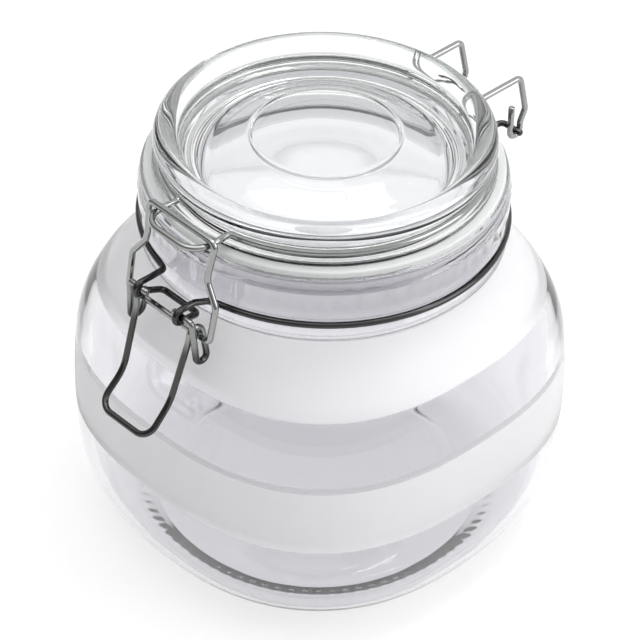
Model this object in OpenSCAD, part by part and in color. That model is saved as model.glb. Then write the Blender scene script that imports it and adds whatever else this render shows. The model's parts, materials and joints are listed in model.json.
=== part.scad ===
// Wire-clamped glass canister: rounded-square jar, glass lid, gasket and four formed wires.
// Millimetres. +Z up, z = 0 on the base, clasp toward -Y, hinge toward +Y.

/* [Jar] */
// Widest size of the jar across its flat sides
body_w = 132.4; // [118:0.2:150]
// Diameter of the flat base the jar stands on
foot_d = 91; // [80:1:100]
// Height of the seam between shoulder and neck
shoulder_z = 103.5; // [96:0.5:118]
// How far the plan departs from a circle, as added superellipse power
squareness = 0.57; // [0.2:0.01:1.2]
// Glass thickness in the walls
wall = 3.6; // [2.8:0.1:4.6]
// Glass thickness in the floor
floor_t = 5.5; // [4:0.5:8]
// Clear diameter of the mouth
mouth_d = 85; // [76:1:88]

/* [Mouth finish] */
// Diameter of the thick collar under the gasket
collar_d = 104.6; // [100:0.2:110]
// Height of the collar
collar_h = 13.4; // [11:0.2:16]
// Thickness of the gasket
gasket_t = 2.2; // [1.6:0.1:3]

/* [Lid] */
// Outside diameter of the lid's rim bead
lid_d = 96.2; // [94:0.2:98]
// Radius of the rim bead's section
bead_r = 3.5; // [3:0.1:4]
// Radius of the thin raised circle on the lid
emboss_r = 21.1; // [15:0.1:25]
// Radius at the foot of the lid's domed centre
dish_r = 35.2; // [31:0.1:37]

/* [Wires] */
// Diameter of every wire
wire_d = 1.9; // [1.6:0.1:2]
// Length of the lever below its pivot
lever_len = 37.9; // [30:0.1:44]
// Length of the lever's turned-out grip
grip_len = 12.3; // [8:0.1:15]
// Half the distance between the lever's arms
lever_half = 10; // [9:0.1:10]
// Half the width of the bail at its lower bar
bail_half = 17; // [16.6:0.1:20]

/* [Hidden] */
$fn = 96;

wire_r = wire_d / 2;
NICK = 0.03;                          // gap under each ball of a wire
BALL_R = wire_r + 0.03;
pin_gap = 0.1;                        // radial play of a wire in a wire eye
eye_r = wire_d + pin_gap;             // mean radius of every eye
seat_gap = 0.05;                      // between parts stacked on one another

collar_r = collar_d / 2;
mouth_r = mouth_d / 2;
groove_r = collar_r - 1.4;            // neck the neck wire sits on
neck_wire_r = groove_r + wire_r + 0.25;
neck_z = shoulder_z + 1.8;            // height of the neck wire
collar_z0 = neck_z + wire_r + 0.35;
collar_z = collar_z0 + collar_h;      // sealing face
lid_z = collar_z + seat_gap + gasket_t + seat_gap;

ring_z = lid_z + 3.3;                 // height of the lid wire
ring_r = lid_d / 2 - 1.7;             // radius of the lid wire
waist_r = ring_r - wire_r - 0.2;      // lid glass behind the lid wire
bead_c = lid_d / 2 - bead_r;
bead_z = ring_z + wire_r + 0.55 + bead_r;

pivot = [-collar_r - 9, neck_z - 0.8];             // lever pivot: y, z
cross = [pivot[0] + 2.9, pivot[1] - 5.9];          // bail's lower bar in the lever: y, z
top_bar = [-ring_r - 6.8, ring_z + wire_d + 0.4];  // bail's bar over the lid tab: y, z
hinge = [collar_r + 12.7, neck_z + 2.2];           // lid hinge axis: y, z
tab_half = 10.3;
arm_x = 12;                                        // lid wire's rear arms
eye_x = 8.2;                                       // neck wire's front eyes

// ---- formed wire: straight runs and true bends through a list of points ----

function unit(v) = v / norm(v);
function across(u) = unit(cross_of(abs(u[2]) < 0.9 ? [0, 0, 1] : [1, 0, 0], u));
function cross_of(a, b) = [a[1]*b[2] - a[2]*b[1], a[2]*b[0] - a[0]*b[2], a[0]*b[1] - a[1]*b[0]];
function turn(u, v) = acos(max(-1, min(1, u * v)));
function flip_x(pts) = [for (i = [len(pts) - 1 : -1 : 0]) [-pts[i][0], pts[i][1], pts[i][2]]];

// Places children with their X, Y and Z along x, y and z, at point o.
module on_axes(x, y, z, o) {
    multmatrix([[x[0], y[0], z[0], o[0]], [x[1], y[1], z[1], o[1]], [x[2], y[2], z[2], o[2]],
                [0, 0, 0, 1]])
        children();
}

// A wire through pts. bends[i] is the bend radius at pts[i]; the two ends take 0. Runs and bends
// stop a nick short of each other under a slightly fatter ball, so no two surfaces are tangent.
// joined puts a ball at both ends too, where the wire carries on into another stretch.
module wire(pts, bends, joined = false) {
    n = len(pts);
    dir = [for (i = [0 : n - 2]) unit(pts[i + 1] - pts[i])];
    cut = [for (i = [0 : n - 1])
        (i == 0 || i == n - 1) ? 0 : bends[i] * tan(turn(dir[i - 1], dir[i]) / 2)];
    for (i = [0 : n - 2]) {
        u = dir[i];
        free0 = i == 0 && !joined;
        free1 = i == n - 2 && !joined;
        full = norm(pts[i + 1] - pts[i]) - cut[i] - cut[i + 1];
        start = free0 ? 0 : NICK;
        on_axes(across(u), cross_of(u, across(u)), u, pts[i] + u * cut[i]) {
            if (full > 8 * NICK) {
                translate([0, 0, start]) cylinder(h = full - start - (free1 ? 0 : NICK), r = wire_r);
                if (!free0) sphere(BALL_R);
            }
            if (!free1) translate([0, 0, full > 8 * NICK ? full : full / 2]) sphere(BALL_R);
        }
    }
    for (i = [1 : n - 2]) {
        u = dir[i - 1];
        inward = unit(dir[i] - u * (u * dir[i]));
        on_axes(-inward, u, cross_of(u, inward), pts[i] - u * cut[i] + inward * bends[i])
            nicked_arc(bends[i], turn(u, dir[i]));
    }
}

// A bent stretch of wire in the XY plane, from +X round by angle, a nick short at both ends.
module nicked_arc(r, angle) {
    nick = asin(NICK / r);
    rotate([0, 0, nick]) rotate_extrude(angle = angle - 2 * nick) translate([r, 0]) circle(wire_r);
}

// The arc of a round ring about Z that runs from angle a0 to a1.
module ring_arc(r, z, a0, a1) {
    translate([0, 0, z]) rotate([0, 0, a0]) nicked_arc(r, a1 - a0);
}

// A ring's point at a given x on side s (-1 front, 1 back), and the point where its tangent
// there reaches x = to_x.
function ring_pt(r, z, x, s) = [x, s * sqrt(r*r - x*x), z];
function tangent_pt(r, z, x, s, to_x) =
    let (p = ring_pt(r, z, x, s)) [to_x, p[1] + (x - to_x) * p[0] / p[1], z];
function ring_angle(r, x, s) = s * acos(x / r);

// ---- jar ----

// Stations from base to neck: share of the height, share of the way from the end's radius
// (foot below, neck above) out to the full width, and share of the squareness.
LOWER = [[0, 0, 0.2], [0.024, 0.26, 0.3], [0.077, 0.68, 0.55], [0.19, 0.93, 0.9], [0.37, 1, 1]];
UPPER = [[0.54, 0.99, 1], [0.67, 0.89, 1], [0.77, 0.63, 0.9], [0.85, 0.29, 0.6],
         [0.92, 0.07, 0.25], [1, 0, 0]];
function station(s, end_r) = [s[0] * shoulder_z, end_r + (body_w / 2 - end_r) * s[1],
                              2 + squareness * s[2]];
STATIONS = concat([for (s = LOWER) station(s, foot_d / 2)], [for (s = UPPER) station(s, groove_r)]);

// Smooth curve through stations i and i + 1 at share t.
function at(i) = STATIONS[max(0, min(len(STATIONS) - 1, i))];
function blend(i, t) =
    (at(i) * 2 + (at(i + 1) - at(i - 1)) * t
     + (at(i - 1) * 2 - at(i) * 5 + at(i + 1) * 4 - at(i + 2)) * t * t
     + (at(i) * 3 - at(i - 1) - at(i + 1) * 3 + at(i + 2)) * t * t * t) / 2;
STEPS = 2;
OUTER = concat([for (i = [0 : len(STATIONS) - 2]) for (k = [0 : STEPS - 1]) blend(i, k / STEPS)],
               [at(len(STATIONS) - 1)]);

// The inside: the same rings brought in by the wall, from the floor up.
INNER = concat([[floor_t, foot_d / 2 - 6, 2.1]],
               [for (s = OUTER) if (s[0] > floor_t + 1.5) [s[0], min(s[1] - wall,
                   s[1] - wall - max(0, floor_t + 6 - s[0]) * 0.5), s[2]]],
               [[shoulder_z + 0.5, groove_r - wall, 2]]);

SIDES = 64;
function plan_pt(s, k) = let (a = 360 * k / SIDES, c = cos(a), q = sin(a),
    r = s[1] / pow(pow(abs(c), s[2]) + pow(abs(q), s[2]), 1 / s[2])) [r * c, r * q, s[0]];

module skin(rings) {
    n = len(rings);
    polyhedron(
        points = [for (s = rings) for (k = [0 : SIDES - 1]) plan_pt(s, k)],
        faces = concat(
            [[for (k = [0 : SIDES - 1]) k]],
            [[for (k = [SIDES - 1 : -1 : 0]) (n - 1) * SIDES + k]],
            [for (j = [0 : n - 2]) for (k = [0 : SIDES - 1])
                let (a = j * SIDES + k, b = j * SIDES + (k + 1) % SIDES)
                [a, a + SIDES, b + SIDES, b]]));
}

module jar() {
    color("LightCyan") difference() {
        union() {
            skin(OUTER);
            translate([0, 0, shoulder_z - 0.5]) cylinder(h = collar_z0 - shoulder_z + 1, r = groove_r);
            translate([0, 0, collar_z0]) rotate_extrude() difference() {
                square([collar_r, collar_h]);
                translate([collar_r - 0.8, 0]) rotate(-45) square([3, 3]);
                translate([collar_r, collar_h]) rotate(45) square(1.2, center = true);
            }
        }
        skin(INNER);
        translate([0, 0, shoulder_z - 6]) cylinder(h = collar_z - shoulder_z + 7, r = mouth_r);
    }
}

// ---- lid ----

// Top of the domed centre at radius r.
function dome_z(r) = bead_z - 4.4 + 6.4 * (1 + cos(180 * pow(r / dish_r, 2.6))) / 2;

module lid() {
    plug_r = mouth_r - 1.2;
    skirt_r = lid_d / 2 + 0.2;
    color("Azure") {
        rotate_extrude() polygon(concat(
            [for (k = [0 : 12]) let (r = dish_r * k / 12) [r, dome_z(r)]],
            [[bead_c, bead_z - 3], [waist_r, bead_z - bead_r + 0.3],
             [waist_r, ring_z - wire_r - 0.3], [skirt_r, ring_z - wire_r - 0.6],
             [skirt_r, lid_z], [plug_r, lid_z], [plug_r - 0.6, lid_z - 3.4],
             [plug_r - 3.2, lid_z - 3.4], [plug_r - 5.4, lid_z - 0.4]],
            [for (k = [10 : -2 : 0]) let (r = dish_r * k / 12) [r, dome_z(r) - 4.2]]));
        rotate_extrude() translate([bead_c, bead_z]) circle(bead_r);
        rotate_extrude() translate([emboss_r, dome_z(emboss_r)]) circle(0.45);
    }
}

module gasket() {
    color("Gainsboro") translate([0, 0, collar_z + seat_gap])
        rotate_extrude() translate([mouth_r + 0.6, 0]) square([collar_r - mouth_r - 2.2, gasket_t]);
}

// ---- wires ----

module neck_wire() {
    leave_f = 15;
    leave_b = 9;
    back_x = 6.5;
    front = [
        ring_pt(neck_wire_r, neck_z, leave_f, -1),
        tangent_pt(neck_wire_r, neck_z, leave_f, -1, eye_x + 1.2),
        [eye_x, pivot[0] + 5, pivot[1] + eye_r],
        [eye_x, pivot[0] - eye_r, pivot[1] + eye_r],
        [eye_x, pivot[0] - eye_r, pivot[1] - eye_r],
        [eye_x, pivot[0] + 2.2, pivot[1] - eye_r],
        [eye_x - 1, -groove_r - 3.2, pivot[1] - 3.6]];
    back = [
        ring_pt(neck_wire_r, neck_z, leave_b, 1),
        tangent_pt(neck_wire_r, neck_z, leave_b, 1, back_x),
        [back_x, hinge[0], hinge[1]],
        [arm_x + 2.6, hinge[0], hinge[1]]];
    color("Silver") {
        wire(concat(front, flip_x(front)),
             concat([0, 2.6, 2.6, eye_r, eye_r, 2, 1.8], [1.8, 2, eye_r, eye_r, 2.6, 2.6, 0]),
             joined = true);
        for (s = [1, -1]) mirror([s < 0 ? 1 : 0, 0, 0]) {
            wire(back, [0, 2, 2, 0]);
            translate(back[0]) sphere(BALL_R);
            ring_arc(neck_wire_r, neck_z, ring_angle(neck_wire_r, leave_f, -1),
                     ring_angle(neck_wire_r, leave_b, 1));
        }
    }
}

module lid_wire() {
    leave_f = tab_half + 2.4;
    leave_b = arm_x + 2;
    tab_y = top_bar[0] - 5.2;
    tab = [
        ring_pt(ring_r, ring_z, leave_f, -1),
        tangent_pt(ring_r, ring_z, leave_f, -1, tab_half),
        [tab_half + 0.4, tab_y, ring_z]];
    arm = [
        ring_pt(ring_r, ring_z, leave_b, 1),
        tangent_pt(ring_r, ring_z, leave_b, 1, arm_x),
        [arm_x, hinge[0] + 0.8, ring_z],
        [arm_x, hinge[0] + 3.8, hinge[1] + 6],
        [arm_x, hinge[0] + eye_r, hinge[1] + 2],
        [arm_x, hinge[0] + eye_r, hinge[1] - eye_r],
        [arm_x, hinge[0] - eye_r, hinge[1] - eye_r],
        [arm_x, hinge[0] - eye_r, hinge[1] + 9]];
    color("Silver") {
        wire(concat(tab, flip_x(tab)), [0, 1.5, 6.2, 6.2, 1.5, 0], joined = true);
        for (s = [1, -1]) mirror([s < 0 ? 1 : 0, 0, 0]) {
            wire(arm, [0, 1.5, 2.2, 3, 3, eye_r, eye_r, 0]);
            translate(arm[0]) sphere(BALL_R);
            ring_arc(ring_r, ring_z, ring_angle(ring_r, leave_f, -1), ring_angle(ring_r, leave_b, 1));
        }
    }
}

module lever() {
    loop_x = 13.6;
    lean = 22;          // from pivot to tip, out from upright
    grip_lean = 46;
    tip = [pivot[0] - lever_len * sin(lean), pivot[1] - lever_len * cos(lean)];
    kink = [tip[0] + grip_len * sin(grip_lean), tip[1] + grip_len * cos(grip_lean)];
    side = [
        [eye_x - 3, pivot[0], pivot[1]],
        [loop_x - 0.8, pivot[0], pivot[1]],
        [loop_x, cross[0] - eye_r, cross[1] - 8],
        [loop_x, cross[0] + eye_r, cross[1] - 8],
        [loop_x - 2.6, cross[0] + eye_r, cross[1] + eye_r],
        [loop_x - 2.6, cross[0] - eye_r, cross[1] + eye_r],
        [loop_x - 2.9, cross[0] - eye_r - 0.2, cross[1] - 1.6],
        [lever_half - 0.3, kink[0], kink[1]],
        [lever_half, tip[0], tip[1]]];
    color("DimGray")
        wire(concat(side, flip_x(side)),
             concat([0, 1.5, eye_r, eye_r, eye_r, eye_r, 4, 14, 4.4],
                    [4.4, 14, 4, eye_r, eye_r, eye_r, eye_r, 1.5, 0]));
}

module bail() {
    function leg(x, share) = [x, top_bar[0] + (cross[0] - top_bar[0]) * share,
                              top_bar[1] + (cross[1] - top_bar[1]) * share];
    side = [leg(13.5, 0), leg(12.3, 0.33), leg(12.6, 0.42), leg(bail_half, 0.62),
            leg(bail_half - 0.4, 1)];
    color("Silver")
        wire(concat([leg(0, 0)], side, flip_x(side), [leg(0, 0)]),
             [0, 2, 4, 3, 3, 1.6, 1.6, 3, 3, 4, 2, 0], joined = true);
}

jar();
lid();
gasket();
neck_wire();
lid_wire();
lever();
bail();
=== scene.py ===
"""Look of the wire-clamped glass canister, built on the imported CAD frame. Metres, +Z up."""
import json
import math

import bmesh
import bpy
from mathutils import Matrix, Vector


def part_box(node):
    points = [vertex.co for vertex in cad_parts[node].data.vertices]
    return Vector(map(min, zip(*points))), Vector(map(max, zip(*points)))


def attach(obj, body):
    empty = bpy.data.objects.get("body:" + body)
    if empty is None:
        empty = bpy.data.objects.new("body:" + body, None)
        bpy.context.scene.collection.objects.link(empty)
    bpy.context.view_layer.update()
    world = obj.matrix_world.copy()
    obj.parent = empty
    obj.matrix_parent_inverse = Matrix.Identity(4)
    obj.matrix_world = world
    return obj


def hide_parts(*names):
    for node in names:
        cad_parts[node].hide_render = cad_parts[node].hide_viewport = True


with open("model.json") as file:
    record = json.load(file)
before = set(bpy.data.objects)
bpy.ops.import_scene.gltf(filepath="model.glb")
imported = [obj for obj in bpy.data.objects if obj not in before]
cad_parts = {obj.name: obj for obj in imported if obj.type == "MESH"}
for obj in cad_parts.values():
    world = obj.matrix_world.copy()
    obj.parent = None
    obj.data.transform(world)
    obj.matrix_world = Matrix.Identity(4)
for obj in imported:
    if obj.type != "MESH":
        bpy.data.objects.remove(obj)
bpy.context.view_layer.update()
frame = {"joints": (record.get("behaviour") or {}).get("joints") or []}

MM = 0.001

# ---------------------------------------------------------------- sizes taken from the frame

JAR_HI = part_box("jar")[1]
LID_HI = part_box("lid")[1]
GASKET_LO, GASKET_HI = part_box("gasket")
JOINT = {j["name"]: j for j in frame["joints"]}
HINGE = Vector(JOINT["lid_hinge"]["pos_m"])
PIVOT = Vector(JOINT["lever_swing"]["pos_m"])
CROSS = Vector(JOINT["bail_swing"]["pos_m"])

WIRE_R = 0.95 * MM
EYE_R = 2.0 * MM                       # mean radius of every wire eye
BODY_HALF = JAR_HI[0] - 0.15 * MM      # half width across the flats
COLLAR_TOP = JAR_HI[2]
COLLAR_R = 52.3 * MM
COLLAR_LOW = COLLAR_TOP - 13.4 * MM
GROOVE_R = COLLAR_R - 1.4 * MM
NECK_Z = COLLAR_LOW - 1.3 * MM         # neck wire
NECK_WIRE_R = GROOVE_R + WIRE_R + 0.25 * MM
SHOULDER_Z = NECK_Z - 1.8 * MM
MOUTH_R = 42.5 * MM
FOOT_R = 45.5 * MM
WALL = 3.6 * MM
FLOOR = 5.5 * MM
JAR_SIDES = 320
RIBS = 80                              # teeth of the ribbed ring
POLE = 0.02 * MM                       # radius of a turned piece's end cap

LID_Z = GASKET_HI[2] + 0.05 * MM
LID_R = LID_HI[0] - 0.2 * MM           # rim bead's outside
RING_Z = LID_Z + 3.3 * MM              # lid wire
RING_R = LID_R - 1.7 * MM
BEAD_R = 3.5 * MM
BEAD_C = LID_R - BEAD_R
BEAD_Z = LID_HI[2] - BEAD_R
DISH_R = 35.2 * MM                     # domed centre
DOME_RISE = 6.4 * MM
DOME_LOW = BEAD_Z - 4.4 * MM           # bottom of the trough round the dome
DOME_THICK = 4.2 * MM
EMBOSS_R = 21.1 * MM                   # the thin raised circle on the dome
EMBOSS_RISE, EMBOSS_HALF = 0.3 * MM, 0.42 * MM

ETCH_TOP = (80.5 * MM, SHOULDER_Z - 4.2 * MM)   # heights of the etched bands' edges
ETCH_LOW = (39.0 * MM, 60.5 * MM)
ETCH_EDGE = 0.5 * MM                   # half width of the soft edge
SEAM_Z = COLLAR_TOP - 4.0 * MM         # mould seam round the collar
SEAM_RISE = 0.22 * MM
RIB_LOW, RIB_HIGH = 0.9 * MM, 3.4 * MM          # heights of the ribbed ring on the jar's heel
RIB_RISE = 0.2 * MM


# ---------------------------------------------------------------- mesh helpers

def mesh_object(name, verts, faces, smooth=True):
    mesh = bpy.data.meshes.new(name)
    mesh.from_pydata(verts, [], faces)
    mesh.validate()
    bm = bmesh.new()
    bm.from_mesh(mesh)
    bmesh.ops.recalc_face_normals(bm, faces=bm.faces)
    bm.to_mesh(mesh)
    bm.free()
    if smooth:
        mesh.polygons.foreach_set("use_smooth", [True] * len(mesh.polygons))
    obj = bpy.data.objects.new(name, mesh)
    bpy.context.scene.collection.objects.link(obj)
    return obj


def loft(name, rings, closed=False):
    """A solid through rings of equal length; its ends are capped, or joined when it is closed."""
    n = len(rings[0])
    verts = [p for ring in rings for p in ring]
    faces = []
    count = len(rings)
    for j in range(count if closed else count - 1):
        a0, b0 = j * n, ((j + 1) % count) * n
        faces += [(a0 + k, a0 + (k + 1) % n, b0 + (k + 1) % n, b0 + k) for k in range(n)]
    if not closed:
        faces += [tuple(range(n)), tuple(range((count - 1) * n, count * n))]
    return mesh_object(name, verts, faces)


def turned(name, outline, closed, segments=192):
    """A solid of revolution from a (radius, z) outline."""
    angles = [2 * math.pi * k / segments for k in range(segments)]
    return loft(name, [[(r * math.cos(a), r * math.sin(a), z) for a in angles] for r, z in outline],
                closed)


def arc(cx, cz, r, a0, a1, n):
    """Points of a circular arc in (radius, z), angles in degrees."""
    return [(cx + r * math.cos(math.radians(a0 + (a1 - a0) * k / n)),
             cz + r * math.sin(math.radians(a0 + (a1 - a0) * k / n))) for k in range(n + 1)]


def curve_between(points, steps):
    """A Catmull-Rom curve through tuples of any length."""
    out = []
    last = len(points) - 1

    def at(i):
        return points[max(0, min(last, i))]

    for i in range(last):
        p0, p1, p2, p3 = at(i - 1), at(i), at(i + 1), at(i + 2)
        for k in range(steps):
            t = k / steps
            out.append(tuple(
                (2 * b + (c - a) * t + (2 * a - 5 * b + 4 * c - d) * t * t
                 + (3 * b - a - 3 * c + d) * t ** 3) / 2
                for a, b, c, d in zip(p0, p1, p2, p3)))
    return out + [points[-1]]


# ---------------------------------------------------------------- wires

def rounded_path(points, bends):
    """Straight runs and true arcs through points, as a dense list."""
    pts = [Vector(p) for p in points]
    out = [pts[0]]
    for i in range(1, len(pts) - 1):
        u = (pts[i] - pts[i - 1]).normalized()
        v = (pts[i + 1] - pts[i]).normalized()
        angle = u.angle(v)
        if angle < 1e-4:
            continue
        inward = (v - u * u.dot(v)).normalized()
        start = pts[i] - u * (bends[i] * math.tan(angle / 2))
        centre = start + inward * bends[i]
        steps = max(3, int(math.degrees(angle) / 7))
        out += [centre + (-inward * math.cos(angle * k / steps) + u * math.sin(angle * k / steps))
                * bends[i] for k in range(steps + 1)]
    return out + [pts[-1]]


def ring_arc(radius, z, a0, a1, steps):
    return [Vector((radius * math.cos(a), radius * math.sin(a), z))
            for a in (a0 + (a1 - a0) * k / steps for k in range(steps + 1))]


def thin_out(path, gap):
    """Drops points closer than gap to the one before, keeping both ends."""
    out = [path[0]]
    for p in path[1:]:
        if (p - out[-1]).length > gap:
            out.append(p)
    if (path[-1] - out[-1]).length > 1e-9:
        out[-1] = path[-1]
    return out


def tube(name, path, closed=False, sides=20):
    """Sweeps the wire's round section along path; open ends are sheared flat with a small bevel."""
    path = thin_out(path, 0.12 * MM)
    if closed and (path[0] - path[-1]).length < 0.12 * MM:
        path = path[:-1]
    n = len(path)
    step = [(path[(i + 1) % n] - path[i - 1 if closed or i else 0]).normalized()
            if closed or i < n - 1 else (path[-1] - path[-2]).normalized() for i in range(n)]
    side = step[0].orthogonal().normalized()
    frames = []
    for i in range(n):
        if i:
            side = step[i - 1].rotation_difference(step[i]) @ side
        side = (side - step[i] * side.dot(step[i])).normalized()
        frames.append(side.copy())
    twist = 0.0
    if closed:                                   # spreads the mismatch where the ends meet
        back = (step[-1].rotation_difference(step[0]) @ frames[-1]).normalized()
        twist = math.atan2(back.cross(frames[0]).dot(step[0]), back.dot(frames[0]))
    rings = []
    for i in range(n):
        a = Matrix.Rotation(twist * i / n, 3, step[i]) @ frames[i]
        b = step[i].cross(a)
        rings.append([path[i] + (a * math.cos(t) + b * math.sin(t)) * WIRE_R
                      for t in (2 * math.pi * k / sides for k in range(sides))])
    if not closed:
        bevel = 0.22 * MM

        def shrink(ring, centre):
            return [centre + (p - centre) * (1 - bevel / WIRE_R) for p in ring]

        first, last = rings[0], rings[-1]
        rings[0] = [p + step[0] * bevel for p in first]
        rings[-1] = [p - step[-1] * bevel for p in last]
        rings.insert(0, shrink(first, path[0]))
        rings.append(shrink(last, path[-1]))
    return loft(name, rings, closed)


def mirrored(points):
    return [(-x, y, z) for x, y, z in reversed(points)]


def on_ring(radius, z, x, side):
    return (x, side * math.sqrt(radius * radius - x * x), z)


def off_ring(radius, z, x, side, to_x):
    """Where the ring's tangent at x reaches to_x."""
    y = on_ring(radius, z, x, side)[1]
    return (to_x, y + (x - to_x) * x / y, z)


def make_neck_wire():
    leave_f, leave_b, back_x, eye_x = 15 * MM, 9 * MM, 6.5 * MM, 8.2 * MM
    py, pz = PIVOT.y, PIVOT.z
    front = [
        on_ring(NECK_WIRE_R, NECK_Z, leave_f, -1),
        off_ring(NECK_WIRE_R, NECK_Z, leave_f, -1, eye_x + 1.2 * MM),
        (eye_x, py + 5 * MM, pz + EYE_R),
        (eye_x, py - EYE_R, pz + EYE_R),
        (eye_x, py - EYE_R, pz - EYE_R),
        (eye_x, py + 2.2 * MM, pz - EYE_R),
        (eye_x - 1 * MM, -GROOVE_R - 3.2 * MM, pz - 3.6 * MM)]
    bends = [0, 2.6 * MM, 2.6 * MM, EYE_R, EYE_R, 2 * MM, 1.8 * MM]
    back = [
        on_ring(NECK_WIRE_R, NECK_Z, leave_b, 1),
        off_ring(NECK_WIRE_R, NECK_Z, leave_b, 1, back_x),
        (back_x, HINGE.y, HINGE.z),
        (14.6 * MM, HINGE.y, HINGE.z)]
    a0 = math.acos(leave_f / NECK_WIRE_R)
    a1 = math.acos(leave_b / NECK_WIRE_R)
    clasp = rounded_path(front + mirrored(front), bends + bends[::-1])
    right = ring_arc(NECK_WIRE_R, NECK_Z, a1, -a0, 70)
    tail = rounded_path(back, [0, 2 * MM, 2 * MM, 0])
    left = [Vector((-p.x, p.y, p.z)) for p in reversed(right)]
    left_tail = [Vector((-p.x, p.y, p.z)) for p in tail]
    path = list(reversed(tail)) + right + clasp + left + left_tail
    return tube("neck_wire_look", path)


def make_lid_wire():
    tab_half, arm_x = 10.3 * MM, 12 * MM
    leave_f, leave_b = tab_half + 2.4 * MM, arm_x + 2 * MM
    tab_y = -RING_R - 12.0 * MM
    tab = [
        on_ring(RING_R, RING_Z, leave_f, -1),
        off_ring(RING_R, RING_Z, leave_f, -1, tab_half),
        (tab_half + 0.4 * MM, tab_y, RING_Z)]
    arm = [
        on_ring(RING_R, RING_Z, leave_b, 1),
        off_ring(RING_R, RING_Z, leave_b, 1, arm_x),
        (arm_x, HINGE.y + 0.8 * MM, RING_Z),
        (arm_x, HINGE.y + 3.8 * MM, HINGE.z + 6 * MM),
        (arm_x, HINGE.y + EYE_R, HINGE.z + 2 * MM),
        (arm_x, HINGE.y + EYE_R, HINGE.z - EYE_R),
        (arm_x, HINGE.y - EYE_R, HINGE.z - EYE_R),
        (arm_x, HINGE.y - EYE_R, HINGE.z + 9 * MM)]
    bends = [0, 1.5 * MM, 6.2 * MM]
    a0 = math.acos(leave_f / RING_R)
    a1 = math.acos(leave_b / RING_R)
    front = rounded_path(tab + mirrored(tab), bends + bends[::-1])
    right = ring_arc(RING_R, RING_Z, a1, -a0, 70)
    tail = rounded_path(arm, [0, 1.5 * MM, 2.2 * MM, 3 * MM, 3 * MM, EYE_R, EYE_R, 0])
    left = [Vector((-p.x, p.y, p.z)) for p in reversed(right)]
    left_tail = [Vector((-p.x, p.y, p.z)) for p in tail]
    return tube("lid_wire_look", list(reversed(tail)) + right + front + left + left_tail)


def make_lever():
    loop_x, half = 13.6 * MM, 10 * MM
    lean, length = math.radians(22), 37.9 * MM
    grip_lean, grip = math.radians(46), 12.3 * MM
    tip_y, tip_z = PIVOT.y - length * math.sin(lean), PIVOT.z - length * math.cos(lean)
    cy, cz = CROSS.y, CROSS.z
    side = [
        (5.2 * MM, PIVOT.y, PIVOT.z),
        (loop_x - 0.8 * MM, PIVOT.y, PIVOT.z),
        (loop_x, cy - EYE_R, cz - 8 * MM),
        (loop_x, cy + EYE_R, cz - 8 * MM),
        (loop_x - 2.6 * MM, cy + EYE_R, cz + EYE_R),
        (loop_x - 2.6 * MM, cy - EYE_R, cz + EYE_R),
        (loop_x - 2.9 * MM, cy - EYE_R - 0.2 * MM, cz - 1.6 * MM),
        (half - 0.3 * MM, tip_y + grip * math.sin(grip_lean), tip_z + grip * math.cos(grip_lean)),
        (half, tip_y, tip_z)]
    bends = [0, 1.5 * MM, EYE_R, EYE_R, EYE_R, EYE_R, 4 * MM, 14 * MM, 4.4 * MM]
    return tube("lever_look", rounded_path(side + mirrored(side), bends + bends[::-1]))


def make_bail():
    half = 17 * MM
    top_y, top_z = -RING_R - 6.8 * MM, RING_Z + 2.3 * MM

    def leg(x, share):
        return (x, top_y + (CROSS.y - top_y) * share, top_z + (CROSS.z - top_z) * share)

    side = [leg(13.5 * MM, 0), leg(12.3 * MM, 0.33), leg(12.6 * MM, 0.42), leg(half, 0.62),
            leg(half - 0.4 * MM, 1)]
    bends = [2 * MM, 4 * MM, 3 * MM, 3 * MM, 1.6 * MM]
    loop = [leg(0, 0)] + side + mirrored(side) + [leg(0, 0)]
    return tube("bail_look", rounded_path(loop, [0] + bends + bends[::-1] + [0]), closed=True)


# ---------------------------------------------------------------- glass

# Share of the height, share of the way out to the full width, share of the squareness.
LOWER = [(0, 0, 0.2), (0.024, 0.26, 0.3), (0.077, 0.68, 0.55), (0.19, 0.93, 0.9), (0.37, 1, 1)]
UPPER = [(0.54, 0.99, 1), (0.67, 0.89, 1), (0.77, 0.63, 0.9), (0.85, 0.29, 0.6),
         (0.92, 0.07, 0.25), (1, 0, 0)]


def jar_stations():
    """Levels of the outer wall: height, half width, and the power of its superellipse."""

    def level(share, end):
        return (share[0] * SHOULDER_Z, end + (BODY_HALF - end) * share[1], 2 + 0.57 * share[2])

    return [level(s, FOOT_R) for s in LOWER] + [level(s, GROOVE_R) for s in UPPER]


def plan_ring(z, half, power, rib=0.0, seam=0.0):
    """One level of the jar. rib is the height of the heel's teeth; seam adds an uneven ridge."""
    ring = []
    for k in range(JAR_SIDES):
        a = 2 * math.pi * k / JAR_SIDES
        c, s = math.cos(a), math.sin(a)
        r = half / (abs(c) ** power + abs(s) ** power) ** (1 / power)
        r += seam * (0.6 + 0.4 * math.sin(61 * a + 3 * math.sin(7 * a)))
        ring.append((r * c, r * s, z + rib * (1 - math.cos(RIBS * a)) / 2))
    return ring


def heel_rib(z):
    share = (z - RIB_LOW) / (RIB_HIGH - RIB_LOW)
    return RIB_RISE * math.sin(math.pi * share) if 0 < share < 1 else 0.0


def with_line(levels, z, bump, half_height):
    """Adds a thin raised line round the jar at height z, on levels that rise."""
    i = next(k for k, level in enumerate(levels) if level[0] > z)
    (z0, w0, p0), (z1, w1, p1) = levels[i - 1], levels[i]

    def between(height, out):
        t = (height - z0) / (z1 - z0)
        return (height, w0 + (w1 - w0) * t + out, p0 + (p1 - p0) * t)

    line = [between(z - half_height, 0), between(z, bump), between(z + half_height, 0)]
    return levels[:i] + line + levels[i:]


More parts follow.
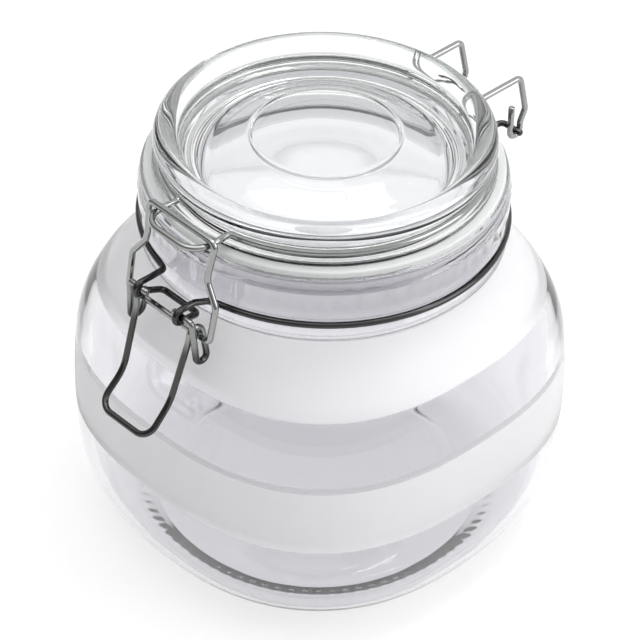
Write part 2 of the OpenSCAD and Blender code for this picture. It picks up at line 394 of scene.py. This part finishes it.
def make_jar():
    outer = curve_between(jar_stations(), 8)
    walls = with_line(outer, ETCH_TOP[1] + 0.3 * MM, 0.3 * MM, 0.35 * MM)
    # underside: a shallow hollow, then the ring that the jar stands on
    rings = [(3.0 * MM, POLE, 2), (2.95 * MM, 12 * MM, 2), (2.8 * MM, 24 * MM, 2),
             (2.45 * MM, 33 * MM, 2), (1.8 * MM, 38 * MM, 2), (0.9 * MM, 41.6 * MM, 2),
             (0.3 * MM, 43.4 * MM, 2), (0.05 * MM, 44.4 * MM, 2)]
    rings += [(z, w, p, heel_rib(z)) for z, w, p in walls]
    # neck and a collar with a mould seam, eased edges, sealing face, and down inside the mouth
    rings += [(NECK_Z, GROOVE_R, 2), (COLLAR_LOW - 0.25 * MM, GROOVE_R, 2)]
    ease = 1.2 * MM
    rings += [(z, r, 2) for r, z in arc(COLLAR_R - ease, COLLAR_LOW + ease, ease, -80, 0, 5)]
    rings += [(SEAM_Z - 0.55 * MM, COLLAR_R, 2), (SEAM_Z - 0.2 * MM, COLLAR_R, 2, 0, SEAM_RISE),
              (SEAM_Z + 0.1 * MM, COLLAR_R - 0.1 * MM, 2, 0, SEAM_RISE),
              (SEAM_Z + 0.45 * MM, COLLAR_R - 0.35 * MM, 2)]
    top_r = COLLAR_R - 0.45 * MM
    finish = (arc(top_r - 0.9 * MM, COLLAR_TOP - 0.9 * MM, 0.9 * MM, 0, 90, 5)
              + arc(MOUTH_R + 1.0 * MM, COLLAR_TOP - 1.0 * MM, 1.0 * MM, 90, 180, 5))
    rings += [(z, r, 2) for r, z in finish]
    rings += [(COLLAR_LOW, MOUTH_R, 2), (SHOULDER_Z + 1 * MM, MOUTH_R + 0.4 * MM, 2)]
    inside = [(z, w - WALL - max(0, FLOOR + 6 * MM - z) * 0.5, p) for z, w, p in reversed(outer)
              if FLOOR + 2.5 * MM < z < SHOULDER_Z - 3 * MM]
    # the inner floor eases into the wall and steps up twice to a raised disc
    floor_w = inside[-1][1] - 2.2 * MM
    rings += inside + [(FLOOR + 0.9 * MM, floor_w, 2.1),
                       (FLOOR + 0.2 * MM, floor_w - 2.6 * MM, 2.05),
                       (FLOOR, floor_w - 6 * MM, 2), (FLOOR + 0.1 * MM, 33.4 * MM, 2),
                       (FLOOR + 0.3 * MM, 32.6 * MM, 2), (FLOOR + 1.2 * MM, 31.9 * MM, 2),
                       (FLOOR + 1.4 * MM, 31.0 * MM, 2), (FLOOR + 1.5 * MM, 25.6 * MM, 2),
                       (FLOOR + 1.7 * MM, 24.9 * MM, 2), (FLOOR + 2.3 * MM, 24.3 * MM, 2),
                       (FLOOR + 2.4 * MM, 23.4 * MM, 2), (FLOOR + 2.4 * MM, 14 * MM, 2),
                       (FLOOR + 2.4 * MM, POLE, 2)]
    return loft("jar_look", [plan_ring(*ring) for ring in rings])


def dome_z(r):
    """Height of the lid's top inside the trough."""
    return DOME_LOW + DOME_RISE * (1 + math.cos(math.pi * (r / DISH_R) ** 2.6)) / 2


def emboss(r):
    return EMBOSS_RISE * math.exp(-((r - EMBOSS_R) / EMBOSS_HALF) ** 2)


def make_lid():
    plug_r = MOUTH_R - 1.2 * MM
    skirt_r = LID_R + 0.2 * MM
    waist_r = RING_R - WIRE_R - 0.2 * MM
    top = []
    for k in range(1, 61):
        r = DISH_R * k / 60
        top.append((r, dome_z(r) + emboss(r)))
    for extra in (-0.7, -0.35, 0.0, 0.35, 0.7):
        r = EMBOSS_R + extra * MM
        top.append((r, dome_z(r) + emboss(r)))
    top.sort()
    trough_z = top[-1][1]
    outline = [(POLE, dome_z(0))] + top
    outline += [(DISH_R + 1.4 * MM, trough_z - 0.05 * MM), (BEAD_C - 5.0 * MM, trough_z + 0.5 * MM)]
    outline += arc(BEAD_C, BEAD_Z, BEAD_R, 205, -70, 34)
    outline += [(waist_r + 0.2 * MM, BEAD_Z - BEAD_R + 0.1 * MM), (waist_r, RING_Z + 0.7 * MM),
                (waist_r, RING_Z - 0.7 * MM), (waist_r + 0.4 * MM, RING_Z - 1.3 * MM)]
    outline += arc(skirt_r - 0.7 * MM, RING_Z - WIRE_R - 1.35 * MM, 0.7 * MM, 90, 0, 5)
    outline += arc(skirt_r - 0.5 * MM, LID_Z + 0.5 * MM, 0.5 * MM, 0, -90, 4)
    outline += [(plug_r + 0.3 * MM, LID_Z), (plug_r - 0.1 * MM, LID_Z - 0.5 * MM),
                (plug_r - 0.6 * MM, LID_Z - 2.9 * MM), (plug_r - 1.4 * MM, LID_Z - 3.4 * MM),
                (plug_r - 2.6 * MM, LID_Z - 3.3 * MM), (plug_r - 3.6 * MM, LID_Z - 2.4 * MM),
                (plug_r - 5.4 * MM, LID_Z - 0.3 * MM)]
    for k in range(22, 0, -1):
        r = DISH_R * k / 24
        outline.append((r, dome_z(r) - DOME_THICK))
    outline.append((POLE, dome_z(0) - DOME_THICK))
    return turned("lid_look", outline, closed=False)


def make_gasket():
    r0, r1 = MOUTH_R + 0.6 * MM, GASKET_HI[0]
    z0, z1 = GASKET_LO[2], GASKET_HI[2]
    e = 0.6 * MM
    outline = (arc(r1 - e, z1 - e, e, 90, 0, 4) + [(r1 - 0.15 * MM, (z0 + z1) / 2)]
               + arc(r1 - e, z0 + e, e, 0, -90, 4)
               + arc(r0 + e, z0 + e, e, 270, 180, 4) + arc(r0 + e, z1 - e, e, 180, 90, 4))
    return turned("gasket_look", outline, closed=True)


# ---------------------------------------------------------------- materials

def new_material(name):
    mat = bpy.data.materials.new(name)
    mat.use_nodes = True
    tree = mat.node_tree
    shader = next(n for n in tree.nodes if n.type == "BSDF_PRINCIPLED")
    return mat, tree, shader


def node(tree, kind, **values):
    n = tree.nodes.new(kind)
    for key, value in values.items():
        if hasattr(n, key):
            setattr(n, key, value)
        else:
            n.inputs[key].default_value = value
    return n


def noise(tree, scale, detail):
    """Fractal noise in the object's own coordinates."""
    coord = node(tree, "ShaderNodeTexCoord")
    texture = node(tree, "ShaderNodeTexNoise", Scale=scale, Detail=detail)
    tree.links.new(coord.outputs["Object"], texture.inputs["Vector"])
    return texture.outputs["Fac"]


def remap(tree, value, start, end, low, high, curve="LINEAR"):
    """Takes start to low and end to high, and stops there."""
    ramp = node(tree, "ShaderNodeMapRange", interpolation_type=curve)
    limits = (("From Min", start), ("From Max", end), ("To Min", low), ("To Max", high))
    for name, limit in limits:
        ramp.inputs[name].default_value = limit
    tree.links.new(value, ramp.inputs["Value"])
    return ramp.outputs["Result"]


def combine(tree, operation, a, b):
    both = node(tree, "ShaderNodeMath", operation=operation)
    tree.links.new(a, both.inputs[0])
    tree.links.new(b, both.inputs[1])
    return both.outputs[0]


def blend(tree, factor, a, b):
    """A colour from a to b, each of them a plain colour or a socket."""
    mix = node(tree, "ShaderNodeMix", data_type="RGBA")
    for name, colour in (("A", a), ("B", b)):
        if isinstance(colour, tuple):
            mix.inputs[name].default_value = colour
        else:
            tree.links.new(colour, mix.inputs[name])
    tree.links.new(factor, mix.inputs["Factor"])
    return mix.outputs["Result"]


def add_bump(tree, shader, height, strength, distance):
    bump = node(tree, "ShaderNodeBump", Strength=strength, Distance=distance)
    tree.links.new(height, bump.inputs["Height"])
    tree.links.new(bump.outputs["Normal"], shader.inputs["Normal"])


def height_mask(tree, low, high, soft):
    """1 between two heights of the object, 0 outside, with soft edges."""
    coord = node(tree, "ShaderNodeTexCoord")
    split = node(tree, "ShaderNodeSeparateXYZ")
    tree.links.new(coord.outputs["Object"], split.inputs[0])
    z = split.outputs["Z"]
    return combine(tree, "MULTIPLY", remap(tree, z, low - soft, low + soft, 0, 1, "SMOOTHSTEP"),
                   remap(tree, z, high - soft, high + soft, 1, 0, "SMOOTHSTEP"))


def outward_mask(tree):
    """1 on faces that look away from the jar's axis, 0 on its inner walls."""
    coord = node(tree, "ShaderNodeTexCoord")
    flat = node(tree, "ShaderNodeVectorMath", operation="MULTIPLY")
    flat.inputs[1].default_value = (1, 1, 0)
    tree.links.new(coord.outputs["Object"], flat.inputs[0])
    dot = node(tree, "ShaderNodeVectorMath", operation="DOT_PRODUCT")
    tree.links.new(flat.outputs[0], dot.inputs[0])
    tree.links.new(coord.outputs["Normal"], dot.inputs[1])
    positive = node(tree, "ShaderNodeMath", operation="GREATER_THAN")
    positive.inputs[1].default_value = 0.0
    tree.links.new(dot.outputs["Value"], positive.inputs[0])
    return positive.outputs[0]


def glass_ripple(tree, shader, scale, strength):
    """The faint waviness of pressed glass."""
    add_bump(tree, shader, noise(tree, scale, 2.0), strength, 1 * MM)


def jar_glass():
    mat, tree, shader = new_material("jar_glass_etched")
    bands = combine(tree, "MAXIMUM", height_mask(tree, *ETCH_TOP, ETCH_EDGE),
                    height_mask(tree, *ETCH_LOW, ETCH_EDGE))
    etched = combine(tree, "MULTIPLY", bands, outward_mask(tree))
    # etching: a matt grain that scatters, and a milky share of plain diffuse
    grain = remap(tree, noise(tree, 900.0, 4.0), 0.3, 0.7, 0.42, 0.55)
    tree.links.new(combine(tree, "MULTIPLY", grain, etched), shader.inputs["Roughness"])
    tree.links.new(remap(tree, etched, 0, 1, 1.0, 0.66), shader.inputs["Transmission Weight"])
    # the thick neck finish and the thick base are greyer than the thin walls
    neck = height_mask(tree, NECK_Z - 3 * MM, COLLAR_TOP + 9 * MM, 5 * MM)
    base = height_mask(tree, -20 * MM, 16 * MM, 12 * MM)
    clear = blend(tree, neck, (0.87, 0.87, 0.89, 1), (0.50, 0.50, 0.525, 1))
    clear = blend(tree, base, clear, (0.78, 0.78, 0.81, 1))
    tint = blend(tree, etched, clear, (0.985, 0.98, 0.99, 1))
    tree.links.new(tint, shader.inputs["Base Color"])
    shader.inputs["IOR"].default_value = 1.5
    glass_ripple(tree, shader, 45.0, 0.05)
    return mat


def clear_glass(name, tint, ripple):
    mat, tree, shader = new_material(name)
    shader.inputs["Base Color"].default_value = tint
    shader.inputs["Roughness"].default_value = 0.0
    shader.inputs["Transmission Weight"].default_value = 1.0
    shader.inputs["IOR"].default_value = 1.5
    glass_ripple(tree, shader, 60.0, ripple)
    return mat


def wire_metal(name, colour, rough, painted_shade_below=None):
    """Zinc plate with handling smudges and small dull spots, and painted shade that darkens it
    below a height if given.
    """
    mat, tree, shader = new_material(name)
    smudge = noise(tree, 260.0, 5.0)
    tree.links.new(remap(tree, smudge, 0.35, 0.75, rough, rough + 0.16), shader.inputs["Roughness"])
    shade = blend(tree, smudge, colour, tuple(c * 0.72 for c in colour[:3]) + (1,))
    if painted_shade_below is not None:
        # painted shade: below the given height the wire turns near black, standing in for the shade
        # and dark reflections it shows there
        painted_shade_mask = height_mask(tree, -1.0, painted_shade_below, 3 * MM)
        shade = blend(tree, painted_shade_mask, shade, (0.07, 0.07, 0.068, 1))
    tree.links.new(shade, shader.inputs["Base Color"])
    shader.inputs["Metallic"].default_value = 1.0
    add_bump(tree, shader, smudge, 0.12, 0.2 * MM)
    return mat


def gasket_rubber():
    mat, tree, shader = new_material("gasket_rubber")
    cloud = noise(tree, 120.0, 4.0)
    tint = blend(tree, cloud, (0.95, 0.96, 0.95, 1), (0.88, 0.91, 0.895, 1))
    tree.links.new(tint, shader.inputs["Base Color"])
    shader.inputs["Roughness"].default_value = 0.38
    shader.inputs["Transmission Weight"].default_value = 0.45
    shader.inputs["IOR"].default_value = 1.42
    add_bump(tree, shader, cloud, 0.15, 0.3 * MM)
    return mat


def floor_table():
    """White acrylic, lit from below as well as from above."""
    mat, tree, shader = new_material("floor_table")
    tint = blend(tree, noise(tree, 300.0, 2.0), (0.32, 0.32, 0.32, 1), (0.29, 0.29, 0.29, 1))
    tree.links.new(tint, shader.inputs["Base Color"])
    shader.inputs["Roughness"].default_value = 0.8
    shader.inputs["Emission Color"].default_value = (1, 1, 1, 1)
    shader.inputs["Emission Strength"].default_value = 0.70
    return mat


# ---------------------------------------------------------------- put the pieces on their bodies

def place(obj, material, body, node_name):
    obj.data.materials.clear()
    obj.data.materials.append(material)
    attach(obj, body)
    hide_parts(node_name)
    return obj


bright = wire_metal("wire_bright", (0.38, 0.39, 0.38, 1), 0.08)
# painted shade: the neck wire's zinc is coloured near black, standing in for the shade under the
# collar and the dark reflections it shows
shaded = wire_metal("wire_shaded", (0.07, 0.07, 0.07, 1), 0.10)
# the lever's wire: a darker copy of the zinc, with painted shade blackening it below just under the
# bail's pivot
painted_shade_lever_wire = wire_metal("wire_painted_shade_below", (0.30, 0.31, 0.30, 1), 0.10,
                       painted_shade_below=CROSS.z - 3 * MM)

place(make_jar(), jar_glass(), "jar_body", "jar")
place(make_lid(), clear_glass("lid_glass_clear", (0.915, 0.925, 0.92, 1), 0.03),
      "lid_body", "lid")
place(make_gasket(), gasket_rubber(), "lid_body", "gasket")
place(make_neck_wire(), shaded, "jar_body", "neck_wire")
place(make_lid_wire(), bright, "lid_body", "lid_wire")
place(make_lever(), painted_shade_lever_wire, "lever_body", "lever")
place(make_bail(), bright, "bail_body", "bail")


# ---------------------------------------------------------------- floor, light, camera

def make_floor():
    half = 8.0
    corners = [(-half, -half, 0), (half, -half, 0), (half, half, 0), (-half, half, 0)]
    floor = mesh_object("floor", corners, [(0, 1, 2, 3)], smooth=False)
    floor.location.z = -0.2 * MM
    floor.data.materials.append(floor_table())


def make_world():
    """A dim room that brightens overhead and toward the back, away from the clasp."""
    world = bpy.data.worlds.new("studio")
    bpy.context.scene.world = world
    world.use_nodes = True
    tree = world.node_tree
    back = next(n for n in tree.nodes if n.type == "BACKGROUND")
    coord = tree.nodes.new("ShaderNodeTexCoord")
    toward = tree.nodes.new("ShaderNodeVectorMath")
    toward.operation = "DOT_PRODUCT"
    toward.inputs[1].default_value = Vector((0.12, 0.55, 0.83)).normalized()
    tree.links.new(coord.outputs["Generated"], toward.inputs[0])
    ramp = tree.nodes.new("ShaderNodeValToRGB")
    tree.links.new(toward.outputs["Value"], ramp.inputs["Fac"])
    stops = ramp.color_ramp.elements
    stops[0].position, stops[0].color = 0.0, (0.22, 0.22, 0.23, 1)
    stops[1].position, stops[1].color = 0.82, (1.0, 1.0, 1.0, 1)
    middle = stops.new(0.28)
    middle.color = (0.66, 0.66, 0.67, 1)
    tree.links.new(ramp.outputs["Color"], back.inputs["Color"])
    back.inputs["Strength"].default_value = 1.13


def area_light(name, place_at, look_at, size, power):
    data = bpy.data.lights.new(name, "AREA")
    data.shape = "RECTANGLE"
    data.size, data.size_y = size
    data.energy = power
    obj = bpy.data.objects.new(name, data)
    obj.location = place_at
    obj.rotation_euler = (Vector(look_at) - Vector(place_at)).to_track_quat("-Z", "Y").to_euler()
    bpy.context.scene.collection.objects.link(obj)


FOCAL = 3385 / 640                     # focal length as a multiple of the sensor's width


def make_camera():
    azimuth, elevation, distance = math.radians(45.5), math.radians(39.3), 0.98
    roll, aim = -0.027, Vector((0, 0, 0.0645))
    back = Vector((math.sin(azimuth) * math.cos(elevation),
                   -math.cos(azimuth) * math.cos(elevation), math.sin(elevation)))
    right = Vector((math.cos(azimuth), math.sin(azimuth), 0))
    up = back.cross(right)
    eye = aim + back * distance - right * 0.0002
    right, up = (right * math.cos(roll) - up * math.sin(roll),
                 right * math.sin(roll) + up * math.cos(roll))
    data = bpy.data.cameras.new("camera")
    data.sensor_width = 36.0
    data.lens = data.sensor_width * FOCAL
    cam = bpy.data.objects.new("camera", data)
    cam.matrix_world = Matrix((right, up, back)).transposed().to_4x4()
    cam.matrix_world.translation = eye
    bpy.context.scene.collection.objects.link(cam)
    bpy.context.scene.camera = cam


make_floor()
make_world()
area_light("key", (0.22, 0.47, 1.5), (0, 0, 0.08), (0.4, 0.5), 6)
area_light("top", (-0.2, -0.3, 1.7), (0, 0, 0), (1.4, 1.4), 8)
area_light("side", (1.1, 0.7, 0.75), (0, 0, 0.06), (0.9, 0.9), 8)
make_camera()
bpy.context.scene.view_settings.view_transform = "Standard"
bpy.context.scene.cycles.max_bounces = 32      # light crosses eight glass faces and more
bpy.context.scene.cycles.transmission_bounces = 32
